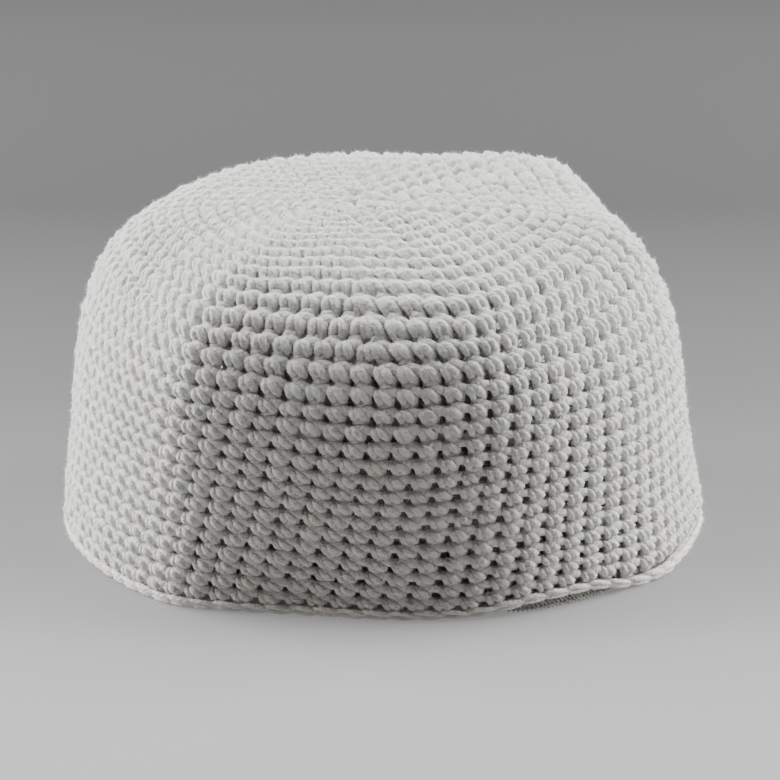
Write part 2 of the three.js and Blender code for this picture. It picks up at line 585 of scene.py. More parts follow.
def geometry_graph(name: str, inputs: dict[str, str]) -> tuple[Graph, Node]:
    """Starts a geometry tree.

    Args:
        name: the tree's name.
        inputs: the socket type of each named input, the geometry's first.

    Returns:
        The graph and the node that holds its inputs.
    """
    tree = bpy.data.node_groups.new(name, "GeometryNodeTree")
    for label, kind in inputs.items():
        tree.interface.new_socket(label, in_out="INPUT", socket_type=kind)
    tree.interface.new_socket("Geometry", in_out="OUTPUT", socket_type="NodeSocketGeometry")
    graph = Graph(tree)
    return graph, graph.node("NodeGroupInput")


def grown(
    name: str, seed_mesh: bpy.types.Mesh, graph: Graph, values: dict[str, Any]
) -> bpy.types.Object:
    """Runs a geometry tree and keeps what it makes as a plain mesh.

    Args:
        name: the finished piece's name.
        seed_mesh: the mesh that the tree starts from.
        graph: the tree.
        values: the value of each of its inputs, by the input's name.

    Returns:
        The finished piece.
    """
    source = show(name + "_source", seed_mesh)
    modifier = source.modifiers.new("work", "NODES")
    modifier.node_group = graph.tree
    for item in graph.tree.interface.items_tree:
        if item.item_type == "SOCKET" and item.in_out == "INPUT" and item.name in values:
            modifier[item.identifier] = values[item.name]
    depsgraph = bpy.context.evaluated_depsgraph_get()
    mesh = bpy.data.meshes.new_from_object(
        source.evaluated_get(depsgraph), preserve_all_data_layers=True, depsgraph=depsgraph
    )
    mesh.name = name
    source.modifiers.remove(modifier)
    discard(source)
    return show(name, mesh)


# --- finishes ------------------------------------------------------------------------------------


def new_material(name: str) -> tuple[bpy.types.Material, Graph]:
    """Starts a material with an empty tree.

    Args:
        name: the material's name.

    Returns:
        The material and its graph.
    """
    material = bpy.data.materials.new(name)
    material.use_nodes = True
    material.node_tree.nodes.clear()
    return material, Graph(material.node_tree)


class MottleAndPaintedShade(NamedTuple):
    """How much each pattern moves a yarn's colour from deep to pale, and where that starts:
    patch and tone at random, fibre and grain as painted shade in the relief's hollows and loose
    fibre's shadows.
    """

    patch: float = 0.3
    tone: float = 0.25
    fibre: float = 1.3
    grain: float = 1.2
    start: float = 1.05


@dataclass(frozen=True)
class YarnFinish:
    """Soft matt yarn of loosely twisted plies, with a bloom of loose fibre and painted shade in the
    hollows of its relief.
    """

    name: str
    pale: Colour
    deep: Colour
    ply_pitch: float = 5.2 * MM
    plies: int = 3
    twist_depth: float = 0.12 * MM
    fibre_depth: float = 0.7 * MM
    fibre_scale: float = 750.0
    grain_depth: float = 0.25 * MM
    grain_scale: float = 2400.0
    patch_scale: float = 55.0
    mottle_and_painted_shade: MottleAndPaintedShade = MottleAndPaintedShade()
    roughness: float = 0.96
    sheen: float = 0.5
    sheen_roughness: float = 0.6
    shine: float = 0.2

    def build(self) -> bpy.types.Material:
        """Makes the material.

        Returns:
            The material, which reads the strands' own attributes along, around and tone.
        """
        material, graph = new_material(self.name)
        place = graph.node("ShaderNodeTexCoord")["Object"]
        fibre = graph.noise(place, self.fibre_scale, 3.0, 0.6)["Fac"]
        grain = graph.noise(place, self.grain_scale, 1.0, 0.5)["Fac"]
        patch = graph.noise(place, self.patch_scale)["Fac"]
        tone = graph.attribute("tone")["Fac"]
        share = self.mottle_and_painted_shade
        # painted shade: the fibre and grain noises that raise the relief also pale the colour, so its
        # hollows are deeper; patch and tone are random tone
        shade = patch * share.patch + tone * share.tone + fibre * share.fibre + grain * share.grain
        relief = (
            self._ply(graph) * self.twist_depth + fibre * self.fibre_depth + grain * self.grain_depth
        )
        shader = graph.principled(
            {
                "Base Color": graph.blend(shade - share.start, self.deep, self.pale),
                "Roughness": self.roughness,
                "Normal": graph.relief(relief),
                "Sheen Weight": self.sheen,
                "Sheen Roughness": self.sheen_roughness,
                "Specular IOR Level": self.shine,
            }
        )
        graph.surface(shader)
        return material

    def _ply(self, graph: Graph) -> Wire:
        """Works out how high the plies stand.

        Args:
            graph: the material's graph.

        Returns:
            A height from 0, in the groove between two plies, to 1.
        """
        across, up, _ = graph.parts(graph.attribute("around")["Vector"])
        angle = graph.math("ARCTAN2", up, across)
        along = graph.attribute("along")["Fac"]
        phase = angle * float(self.plies) + along * (2 * math.pi * self.plies / self.ply_pitch)
        return graph.math("SINE", phase * 0.5).math("ABSOLUTE")


@dataclass(frozen=True)
class FibreFinish:
    """Loose fibres that a share of the light passes through."""

    name: str
    colour: Colour
    through: float = 0.45

    def build(self) -> bpy.types.Material:
        """Makes the material.

        Returns:
            The material.
        """
        material, graph = new_material(self.name)
        front = graph.principled(
            {"Base Color": self.colour, "Roughness": 1.0, "Specular IOR Level": 0.0}
        )
        behind = graph.node("ShaderNodeBsdfTranslucent", None, {"Color": self.colour})["BSDF"]
        mixed = graph.node("ShaderNodeMixShader", None, {0: self.through, 1: front, 2: behind})[0]
        graph.surface(mixed)
        return material


@dataclass(frozen=True)
class TapeFinishWithPaintedShade:
    """Smooth, tightly woven tape, its fine threads running along each rib; painted shade greys its
    white and deepens its grooves.
    """

    name: str = "ribbed_tape"
    # painted shade: the tape is white, and both colours are darkened to the shadow under the rim
    pale: Colour = (0.5, 0.48, 0.44, 1.0)
    deep: Colour = (0.3, 0.285, 0.26, 1.0)
    thread_pitch: float = 0.45 * MM
    thread_depth: float = 0.05 * MM
    fibre_depth: float = 0.04 * MM
    fibre_scale: float = 1800.0
    roughness: float = 0.7
    shine: float = 0.35

    def build(self) -> bpy.types.Material:
        """Makes the material.

        Returns:
            The material, which reads the ribs' own attribute along.
        """
        material, graph = new_material(self.name)
        place = graph.node("ShaderNodeTexCoord")["Object"]
        fibre = graph.noise(place, self.fibre_scale)["Fac"]
        along = graph.attribute("along")["Fac"]
        # painted shade: the threads and the fibre noise raise the relief and pale the colour, so the
        # grooves are painted darker
        thread = graph.math("SINE", along * (2 * math.pi / self.thread_pitch)) * 0.5 + 0.5
        shader = graph.principled(
            {
                "Base Color": graph.blend(thread * 0.5 + fibre * 0.5, self.deep, self.pale),
                "Roughness": self.roughness,
                "Normal": graph.relief(thread * self.thread_depth + fibre * self.fibre_depth),
                "Specular IOR Level": self.shine,
            }
        )
        graph.surface(shader)
        return material


# the deep colours are reached partly at random and partly as painted shade in the relief's hollows
WARM_WHITE = YarnFinish("warm_white_yarn", (0.82, 0.81, 0.77, 1.0), (0.6, 0.59, 0.55, 1.0))
# the edging's cream tint is its own; its paleness above the cap's yarn is painted light, lifting the
# chain out of the rim's shade
CREAM_WITH_PAINTED_LIGHT = YarnFinish("cream_edging_yarn", (0.93, 0.9, 0.87, 1.0), (0.84, 0.8, 0.76, 1.0))


# --- crochet -------------------------------------------------------------------------------------


class StrandPoint(NamedTuple):
    """A point of a strand within its stitch.

    across is in stitches, down in rows of the form that it is laid on, out in millimetres off that
    form and girth the strand's radius there in millimetres.
    """

    across: float
    down: float
    out: float
    girth: float


@dataclass(frozen=True)
class Strand:
    """One strand of a stitch: its points and how many lengths its tube has."""

    name: str
    knots: int
    points: tuple[StrandPoint, ...]


def ring(name: str, knots: int, parts: int, at: StrandPoint) -> Strand:
    """Makes a strand that goes once round.

    Args:
        name: the strand's name.
        knots: how many lengths its tube has.
        parts: how many parts its path is drawn in.
        at: its first point.

    Returns:
        The strand.
    """
    return Strand(name, knots, tuple(at._replace(across=part / parts) for part in range(parts + 1)))


STITCH = (
    Strand("left_leg", 6, (
        StrandPoint(0.1, 0.26, -2.5, 0.85),
        StrandPoint(0.12, 0.38, -1.1, 1.05),
        StrandPoint(0.17, 0.55, -0.65, 1.15),
        StrandPoint(0.23, 0.73, -0.85, 1.1),
        StrandPoint(0.28, 0.92, -2.3, 0.9),
    )),
    Strand("right_leg", 6, (
        StrandPoint(0.2, 0.29, -2.3, 0.9),
        StrandPoint(0.32, 0.36, -1.1, 1.15),
        StrandPoint(0.45, 0.47, -0.6, 1.3),
        StrandPoint(0.58, 0.64, -0.75, 1.25),
        StrandPoint(0.67, 0.86, -1.9, 1.0),
        StrandPoint(0.71, 1.0, -2.9, 0.85),
    )),
    Strand("cross_strand", 7, (
        StrandPoint(0.26, 0.36, -2.1, 0.95),
        StrandPoint(0.38, 0.28, -1.65, 1.1),
        StrandPoint(0.62, 0.24, -1.75, 1.4),
        StrandPoint(0.84, 0.3, -1.6, 1.4),
        StrandPoint(1.02, 0.37, -1.75, 1.25),
        StrandPoint(1.14, 0.5, -2.7, 0.9),
    )),
    Strand("side_strand", 5, (
        StrandPoint(0.56, 0.36, -2.3, 1.2),
        StrandPoint(0.66, 0.5, -1.8, 1.4),
        StrandPoint(0.69, 0.68, -1.8, 1.35),
        StrandPoint(0.69, 0.86, -2.3, 1.1),
        StrandPoint(0.67, 1.0, -3.0, 0.9),
    )),
    Strand("top_loop", 4, (
        StrandPoint(0.2, 1.08, -2.8, 1.0),
        StrandPoint(0.34, 1.0, -1.85, 1.3),
        StrandPoint(0.5, 1.0, -1.85, 1.3),
        StrandPoint(0.68, 1.08, -2.8, 1.0),
    )),
)

MIDDLE_RINGS = (
    ring("inner_ring", 13, 8, StrandPoint(0, 0.3, -1.2, 1.25)),
    ring("outer_ring", 25, 12, StrandPoint(0, 1.35, -2.2, 1.6)),
    ring("backing_ring", 37, 18, StrandPoint(0, 2.2, -2.4, 1.7)),
)

CHAIN_LINK = (
    Strand("upper_arm", 9, (
        StrandPoint(-0.15, -0.4, 0.6, 0.55),
        StrandPoint(0.12, -0.9, 1.25, 0.78),
        StrandPoint(0.5, -0.75, 1.5, 0.86),
        StrandPoint(0.88, -0.35, 1.35, 0.8),
        StrandPoint(1.2, 0.05, 0.85, 0.66),
        StrandPoint(1.42, 0.3, 0.4, 0.5),
    )),
    Strand("lower_arm", 8, (
        StrandPoint(-0.15, 0.1, 0.6, 0.5),
        StrandPoint(0.15, 0.45, 1.15, 0.68),
        StrandPoint(0.5, 0.6, 1.3, 0.74),
        StrandPoint(0.88, 0.6, 1.15, 0.7),
        StrandPoint(1.2, 0.4, 0.6, 0.55),
    )),
    Strand("core", 4, (
        StrandPoint(-0.1, -0.1, 0.1, 1.1),
        StrandPoint(0.5, -0.2, 0.1, 1.1),
        StrandPoint(1.1, -0.1, 0.1, 1.1),
    )),
)

TAPE_RIB = (
    Strand("rib", 9, (
        StrandPoint(0, 0.4, 0.33, 0.3),
        StrandPoint(5.6, 10.0, 0.33, 0.3),
        StrandPoint(11.6, 20.4, 0.36, 0.34),
        StrandPoint(12.7, 21.5, 0.2, 0.34),
        StrandPoint(13.0, 21.62, -0.12, 0.34),
        StrandPoint(13.4, 20.9, -0.36, 0.32),
        StrandPoint(19.4, 10.0, -0.33, 0.3),
        StrandPoint(25.0, 0.4, -0.33, 0.3),
    )),
)


def template(name: str, strands: tuple[Strand, ...]) -> bpy.types.Object:
    """Makes the pattern of a stitch: each strand a chain of edges.

    Args:
        name: the pattern's name.
        strands: the strands, in stitches, rounds and millimetres.

    Returns:
        The pattern's object, hidden from renders.
    """
    points, edges, girth, knots = [], [], [], []
    for strand in strands:
        start = len(points)
        for p in strand.points:
            points.append((p.across, p.down, p.out * MM))
            girth.append(p.girth * MM)
            knots.append(strand.knots)
        edges += [(i, i + 1) for i in range(start, len(points) - 1)]
    mesh = bpy.data.meshes.new(name)
    mesh.from_pydata(points, edges, [])
    store(mesh, "girth", "FLOAT", np.array(girth))
    store(mesh, "knots", "INT", np.array(knots))
    return show(name, mesh, working=True)


class Stitch(NamedTuple):
    """A stitch's place: its turn on the spiral, its width in turns and how far its top leans."""

    turn: float
    step: float
    lean: float


@dataclass(frozen=True)
class Spiral:
    """The one spiral of single crochet, from the crown's middle to the rim."""

    increases: int = 6
    increase_rounds: int = 14
    wall_stitches: float = 84.15
    last_turn: float = 29.93

    def stitches(self) -> list[Stitch]:
        """Lists the stitches in the order of work.

        Each is worked into the nearest hole of the round above, so that on the crown two stitches
        share a hole where the round grows.

        Returns:
            The stitches' places.
        """
        turns: list[float] = []
        steps: list[float] = []
        for n in range(self.increase_rounds):
            count = self.increases * (n + 1)
            turns += [n + k / count for k in range(count)]
            steps += [1 / count] * count
        step = 1 / self.wall_stitches
        wall = np.arange(self.increase_rounds, self.last_turn, step)
        turns += wall.tolist()
        steps += [step] * len(wall)
        hole_lean = self.wall_stitches - round(self.wall_stitches)
        at, width = np.array(turns), np.array(steps)
        holes = at + 1 - hole_lean * width
        above = np.clip(np.searchsorted(holes, at), 1, len(holes) - 1)
        nearer = at - holes[above - 1] < holes[above] - at
        hole = np.where(nearer, holes[above - 1], holes[above])
        lean = np.where(at < 1, 0.0, (hole - at) / width)
        return [Stitch(*row) for row in zip(turns, steps, lean.tolist())]


class RowShift(NamedTuple):
    """How many rounds lower than its number a row lies: all round, and more in three directions."""

    row: float
    all_round: float
    front: float
    right: float
    tab: float


ROW_SHIFTS = (
    RowShift(0, 0, 0, 0, 0),
    RowShift(2.3, -0.3, -0.3, 0.2, 0),
    RowShift(4.3, -0.4, -0.55, 0.35, 0),
    RowShift(7.3, -0.5, -0.7, 0.3, 0),
    RowShift(9.3, -0.4, -0.5, -0.1, 0),
    RowShift(11.3, -0.3, -0.25, -0.6, 0),
    RowShift(13.3, -0.2, 0.1, -0.5, 0),
    RowShift(15.3, -0.38, 0.35, -0.2, 0),
    RowShift(17.3, -0.5, 0.55, 0, 0),
    RowShift(19.3, -0.4, 0.85, 0, 0),
    RowShift(21.3, -0.04, 0.87, 0, 0),
    RowShift(24.1, 0.38, 0.5, 0, -0.1),
    RowShift(27, 0.92, 0.35, 0, -0.4),
    RowShift(29.85, 1.17, 0, 0, -0.8),
    RowShift(31, 1.17, 0, 0, -0.8),
)


class Sag(NamedTuple):
    """A direction in which rows lie lower, by a column of ROW_SHIFTS, and how far to each side."""

    column: str
    middle: float
    reach: float


SAGS = (Sag("front", -89, 38), Sag("right", 5, 60), Sag("tab", -22, 40))


def swell(angles: np.ndarray, middle: float, reach: float) -> np.ndarray:
    """Rises smoothly to 1 at a direction from 0 on either side of it."""
    off = np.clip(turn(middle, angles) / reach, -1.0, 1.0)
    return (1 - off**2) ** 2


FIRST_ANGLE = 110.0
SWAY = 1.7
SWAY_ANGLE = -50.0


def heading(turns: np.ndarray) -> np.ndarray:
    """Gives the direction of each part of a turn, in degrees.

    Args:
        turns: parts of a turn, counted from the back.

    Returns:
        The directions. The stitches lie widest apart at the front's right corner.
    """
    even = FIRST_ANGLE + 360.0 * turns
    return even + SWAY * np.sin(np.radians(2 * (even - SWAY_ANGLE)))


@dataclass(frozen=True)
class WrapForm:
    """How the spiral lies on the cap's form."""

    level_from: float = 20.0
    level_at: float = 30.0
    seam: float = 0.9
    drop: float = 4.08 * MM
    middle_hole: float = 0.1

    def rounds(self, rows: np.ndarray, angles: np.ndarray) -> np.ndarray:
        """Gives the form's round at which each row lies.

        Args:
            rows: the rows' numbers.
            angles: the direction of each place, in degrees.

        Returns:
            The rounds.
        """
        at = [shift.row for shift in ROW_SHIFTS]
        total = np.interp(rows, at, [shift.all_round for shift in ROW_SHIFTS])
        for sag in SAGS:
            amount = np.interp(rows, at, [getattr(shift, sag.column) for shift in ROW_SHIFTS])
            total = total + amount * swell(angles, sag.middle, sag.reach)
        return rows + total

    def place(self, turns: np.ndarray, rows: np.ndarray) -> tuple[np.ndarray, np.ndarray]:
        """Gives the places of the spiral's rows, which come to lie level towards the rim.

        Args:
            turns: the part of a turn at which each place lies.
            rows: how many turns of the spiral lie above each place.

        Returns:
            The points, and the directions away from the cap.
        """
        part = turns % 1.0
        run = np.where(part < self.seam, part, self.seam * (1 - part) / (1 - self.seam))
        angles = heading(turns)
        rounds = self.rounds(rows - run * smoothstep(rows, self.level_from, self.level_at), angles)
        rounds = rounds + self.middle_hole * np.exp(-np.maximum(rounds, 0.0))
        below = np.maximum(rounds - LAST_ROUND, 0.0)
        rounds = np.clip(rounds, MIDDLE_ROUND, LAST_ROUND)
        points = FORM.point(rounds, angles)
        points[..., 2] -= below * self.drop
        return points, FORM.outward(rounds, angles)

    def sheet(self) -> bpy.types.Object:
        """Makes the sheet that the stitches are laid on."""
        rows = np.arange(-0.4, LAST_ROUND + 0.6, 0.2)
        return FormSheet("cap_form", rows, self.place, USUAL_PITCH).build()


@dataclass(frozen=True)
class Hand:
    """How unevenly strands are worked: how far their points stray and their thickness varies.

    across is in stitches, down in rows, out and lumps in metres and girth a share.
    """

    across: float
    down: float
    out: float
    girth: float
    lumps: float

    def inputs(self) -> dict[str, float]:
        """Gives the inputs that it sets in the tree of Work.

        Returns:
            The value of each input, by its name.
        """
        return {
            "Stray Across": self.across,
            "Stray Down": self.down,
            "Stray Out": self.out,
            "Girth Spread": self.girth,
            "Lumps": self.lumps,
        }


class Work:
    """The node tree that lays a pattern of strands along rows of a form."""

    INPUTS = {
        "Geometry": "NodeSocketGeometry",
        "Pattern": "NodeSocketObject",
        "Form": "NodeSocketObject",
        "Spiral": "NodeSocketFloat",
        "Stray Across": "NodeSocketFloat",
        "Stray Down": "NodeSocketFloat",
        "Stray Out": "NodeSocketFloat",
        "Girth Spread": "NodeSocketFloat",
        "Lumps": "NodeSocketFloat",
        "Sides": "NodeSocketInt",
        "Seed": "NodeSocketInt",
        "Material": "NodeSocketMaterial",
    }

    SLUB_SCALE = 330.0
    SLUB_DEPTH = 0.5
    LUMP_SCALE = 850.0
    START_SPREAD = 0.01
    SEED_STEP = 101

    def __init__(self) -> None:
        """Builds the tree."""
        self.graph, self.inputs = geometry_graph("strand_work", self.INPUTS)
        tubes = self._tubes(self._placed(self._copies()))
        self.graph.finish(tubes, self.inputs["Material"])

    def _copies(self) -> Wire:
        """Puts a copy of the pattern at each stitch, with random values of its own.

        Returns:
            The copies' points and edges.
        """
        graph, given = self.graph, self.inputs
        size = graph.named("size", "FLOAT_VECTOR")
        copies = graph.copied(given["Geometry"], graph.mesh_of(given["Pattern"]), {"Scale": size})
        spread = graph.vector(given["Stray Across"], given["Stray Down"], given["Stray Out"])
        stray = graph.vector_math("MULTIPLY", graph.random_vector(given["Seed"]), spread)
        values = {
            "stray": ("FLOAT_VECTOR", stray),
            "plump": ("FLOAT", 1.0 + given["Girth Spread"] * self._random(1)),
            "tone": ("FLOAT", self._random(2) * 0.5 + 0.5),
            "start": ("FLOAT", self._random(3) * self.START_SPREAD),
        }
        for name, (kind, value) in values.items():
            copies = graph.stored(copies, name, kind, value, "INSTANCE")
        return graph.realized(copies)

    def _random(self, step: int) -> Wire:
        """Gives each copy a number from -1 to 1.

        Args:
            step: which of its random values this is.

        Returns:
            The number.
        """
        seed = self.inputs["Seed"] + float(step * self.SEED_STEP)
        sockets = {"Min_001": -1.0, "Max_001": 1.0, "Seed": seed}
        return self.graph.node("FunctionNodeRandomValue", {"data_type": "FLOAT"}, sockets)["Value_001"]

    def _placed(self, points: Wire) -> Wire:
        """Lays the strands' points on the form.

        Args:
            points: the points as they are in the pattern, one stitch beside another.

        Returns:
            The points, each with its girth and the direction away from the cap.
        """
        graph, given = self.graph, self.inputs
        position = graph.node("GeometryNodeInputPosition")[0]
        across, down, out = graph.parts(position)
        stray_across, stray_down, stray_out = graph.parts(graph.named("stray", "FLOAT_VECTOR"))
        turn_at = across + graph.named("slide") * (1.0 - down) + stray_across
        row = turn_at * given["Spiral"] + down + stray_down
        where = graph.vector(graph.math("FRACT", turn_at), row, 0.0)
        form = graph.mesh_of(given["Form"])
        point = self._sampled(form, position, where)
        away = self._sampled(form, graph.named("out", "FLOAT_VECTOR"), where)
        room = graph.parts(self._sampled(form, graph.named("room", "FLOAT_VECTOR"), where))[0]
        points = graph.stored(points, "away", "FLOAT_VECTOR", away)
        points = graph.stored(points, "girth", "FLOAT", graph.named("girth") * room)
        lifted = graph.vector_math("ADD", point, graph.scaled(away, out + stray_out))
        sockets = {"Geometry": points, "Position": lifted}
        return graph.node("GeometryNodeSetPosition", None, sockets)["Geometry"]

    def _sampled(self, form: Wire, value: Wire, where: Wire) -> Wire:
        """Reads a vector of the form.

        Args:
            form: the form's mesh.
            value: what to read.
            where: the turn and the row to read it at.

        Returns:
            The vector.
        """
        wrap = self.graph.named("wrap", "FLOAT_VECTOR")
        settings = {"data_type": "FLOAT_VECTOR"}
        sockets = {"Mesh": form, "Value": value, "Source UV Map": wrap, "Sample UV": where}
        return self.graph.node("GeometryNodeSampleUVSurface", settings, sockets)["Value"]

    def _strands(self, points: Wire) -> Wire:
        """Draws a smooth curve along each strand.

        Args:
            points: the strands' points and edges.

        Returns:
            The curves, each with its length from its start.
        """
        graph = self.graph
        curve = graph.node("GeometryNodeMeshToCurve", None, {"Mesh": points})["Curve"]
        settings = {"spline_type": "CATMULL_ROM"}
        curve = graph.node("GeometryNodeCurveSplineType", settings, {"Curve": curve})["Curve"]
        sockets = {"Curve": curve, "Count": graph.named("knots", "INT")}
        curve = graph.node("GeometryNodeResampleCurve", {"mode": "COUNT"}, sockets)["Curve"]
        length = graph.node("GeometryNodeSplineParameter")["Length"]
        return graph.stored(curve, "along", "FLOAT", length + graph.named("start"))

    def _tubes(self, points: Wire) -> Wire:
        """Turns each strand into a round tube, thick and thin by turns and a little lumpy.

        Args:
            points: the strands' points and edges.

        Returns:
            The tubes.
        """
        graph, given = self.graph, self.inputs
        sockets = {"Resolution": given["Sides"], "Radius": 1.0}
        profile = graph.node("GeometryNodeCurvePrimitiveCircle", {"mode": "RADIUS"}, sockets)["Curve"]
        around = graph.node("GeometryNodeInputPosition")[0]
        profile = graph.stored(profile, "around", "FLOAT_VECTOR", around)
        slub = graph.noise(None, self.SLUB_SCALE, 1.0)["Fac"] - 0.5
        girth = graph.named("girth") * graph.named("plump") * (slub * self.SLUB_DEPTH + 1.0)
        sockets = {"Curve": self._strands(points), "Profile Curve": profile}
        sockets = sockets | {"Scale": girth, "Fill Caps": True}
        tubes = graph.node("GeometryNodeCurveToMesh", None, sockets)["Mesh"]
        sockets = {"Geometry": tubes, "Shade Smooth": True}
        tubes = graph.node("GeometryNodeSetShadeSmooth", None, sockets)["Geometry"]
        lump = graph.noise(None, self.LUMP_SCALE, 2.0, 0.6)["Fac"] - 0.5
        outward = graph.node("GeometryNodeInputNormal")["Normal"]
        sockets = {"Geometry": tubes, "Offset": graph.scaled(outward, lump * given["Lumps"])}
        return graph.node("GeometryNodeSetPosition", None, sockets)["Geometry"]

    def run(self, name: str, stitches: list[Stitch], values: dict[str, Any]) -> bpy.types.Object:
        """Works a run of stitches.

        Args:
            name: the finished piece's name.
            stitches: their places.
            values: the tree's inputs.

        Returns:
            The finished piece.
        """
        mesh = bpy.data.meshes.new(name + "_places")
        mesh.from_pydata([(s.turn, 0.0, 0.0) for s in stitches], [], [])
        store(mesh, "size", "FLOAT_VECTOR", np.array([(s.step, 1.0, 1.0) for s in stitches]))
        store(mesh, "slide", "FLOAT", np.array([s.lean * s.step for s in stitches]))
        return grown(name, mesh, self.graph, values)

    def border(
        self,
        name: str,
        strands: tuple[Strand, ...],
        sheet: FormSheet,
        count: int,
        values: dict[str, Any],
    ) -> bpy.types.Object:
        """Works copies of a pattern side by side, once round a form.

        Args:
            name: the finished piece's name.
            strands: the pattern.
            sheet: the form.
            count: how many copies go round.
            values: the tree's other inputs.

        Returns:
            The finished piece.
        """
        pattern, form = template(name + "_pattern", strands), sheet.build()
        step = 1 / count
        places = [Stitch(n * step, step, 0.0) for n in range(count)]
        values = values | {"Pattern": pattern, "Form": form, "Spiral": 0.0}
        piece = self.run(name, places, values)
        discard(pattern, form)
        return piece


class Stretch(NamedTuple):
    """A piece of the crochet, from one turn of the spiral to another."""

    name: str
    start: float
    end: float


@dataclass
class Crochet:
    """The cap's crown and wall."""

    finish: YarnFinish
    spiral: Spiral = Spiral()
    form: WrapForm = WrapForm()
    hand: Hand = Hand(across=0.0006, down=0.045, out=0.18 * MM, girth=0.09, lumps=0.7 * MM)
    sides: int = 6
    seed: int = 10
    stretches: tuple[Stretch, ...] = (
        Stretch("crown_stitches", 0.0, 12.0),
        Stretch("shoulder_stitches", 12.0, 17.0),
        Stretch("upper_wall_stitches", 17.0, 21.5),
        Stretch("lower_wall_stitches", 21.5, 26.0),
        Stretch("rim_stitches", 26.0, 31.0),
    )

    def build(self, work: Work) -> list[bpy.types.Object]:
        """Works the stitches in a few pieces.

        Args:
            work: the tree that lays strands.

        Returns:
            The pieces.
        """
        pattern = template("stitch_pattern", STITCH)
        rings = template("ring_pattern", MIDDLE_RINGS)
        sheet = self.form.sheet()
        values = self.hand.inputs() | {"Sides": self.sides, "Material": self.finish.build()}
        values = values | {"Form": sheet, "Pattern": pattern, "Spiral": 1.0}
        stitches = self.spiral.stitches()
        pieces = []
        for seed, stretch in enumerate(self.stretches, start=self.seed + 1):
            run = [s for s in stitches if stretch.start <= s.turn < stretch.end]
            pieces.append(work.run(stretch.name, run, values | {"Seed": seed}))
        middle = values | {"Pattern": rings, "Spiral": 0.0, "Seed": self.seed}
        pieces.append(work.run("middle_rings", [Stitch(0.0, 1.0, 0.0)], middle))
        discard(pattern, rings, sheet)
        return pieces

    def dress(self, pieces: list[bpy.types.Object]) -> None:
        """Ties the pieces to the frame.

        Args:
            pieces: the stitches and their fibres.
        """
        for piece in pieces:
            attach(piece, "root")
            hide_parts("cap_body")
            report(piece)


@dataclass
class Bloom:
    """The loose fibres that stand off the yarn, each a sliver with one pointed end."""

    finish: FibreFinish
    per_square_metre: float = 1150000.0
    length: float = 1.4 * MM
    width: float = 0.13 * MM
    stand: float = 0.45
    seed: int = 61
    direction_seed: int = 51

    INPUTS = {
        "Geometry": "NodeSocketGeometry",
        "Fibre": "NodeSocketObject",
        "Density": "NodeSocketFloat",
        "Length": "NodeSocketFloat",
        "Width": "NodeSocketFloat",
        "Stand": "NodeSocketFloat",
        "Seed": "NodeSocketInt",
        "Material": "NodeSocketMaterial",
    }

    def _tree(self) -> Graph:
        """Builds the tree that scatters fibres over the outer side of the strands.

        Returns:
            The tree.
        """
        graph, given = geometry_graph("fibre_bloom", self.INPUTS)
        normal = graph.node("GeometryNodeInputNormal")["Normal"]
        sockets = {0: normal, 1: graph.named("away", "FLOAT_VECTOR")}
        facing = graph.node("ShaderNodeVectorMath", {"operation": "DOT_PRODUCT"}, sockets)["Value"]
        density = facing.math("GREATER_THAN", 0.0) * given["Density"]
        scatter = graph.node(
            "GeometryNodeDistributePointsOnFaces",
            {"distribute_method": "RANDOM"},
            {"Mesh": given["Geometry"], "Density": density, "Seed": given["Seed"]},
        )
        upright = graph.scaled(scatter["Normal"], given["Stand"])
        lengthways = graph.vector_math("ADD", upright, graph.random_vector(self.direction_seed))
        rotation = graph.node(
            "FunctionNodeAxesToRotation",
            {"primary_axis": "Y", "secondary_axis": "X"},
            {0: lengthways, 1: graph.random_vector(self.direction_seed + 1)},
        )[0]
        scale = graph.vector(given["Width"], given["Length"], given["Width"])
        sockets = {"Rotation": rotation, "Scale": scale}
        fibres = graph.copied(scatter["Points"], graph.mesh_of(given["Fibre"]), sockets)
        graph.finish(graph.realized(fibres), given["Material"])
        return graph

    def build(self, pieces: list[bpy.types.Object]) -> list[bpy.types.Object]:
        """Grows the fibres of some pieces.

        Args:
            pieces: the yarn's pieces.

        Returns:
            The fibres of each piece.
        """
        sliver = bpy.data.meshes.new("sliver")
        sliver.from_pydata([(-0.5, 0, 0), (0.5, 0, 0), (0, 1, 0)], [], [(0, 1, 2)])
        pattern = show("sliver", sliver, working=True)
        graph = self._tree()
        values = {
            "Fibre": pattern,
            "Density": self.per_square_metre,
            "Length": self.length,
            "Width": self.width,
            "Stand": self.stand,
            "Material": self.finish.build(),
        }
        blooms = [
            grown(piece.name + "_fibres", piece.data.copy(), graph, values | {"Seed": seed})
            for seed, piece in enumerate(pieces, start=self.seed)
        ]
        discard(pattern)
        return blooms


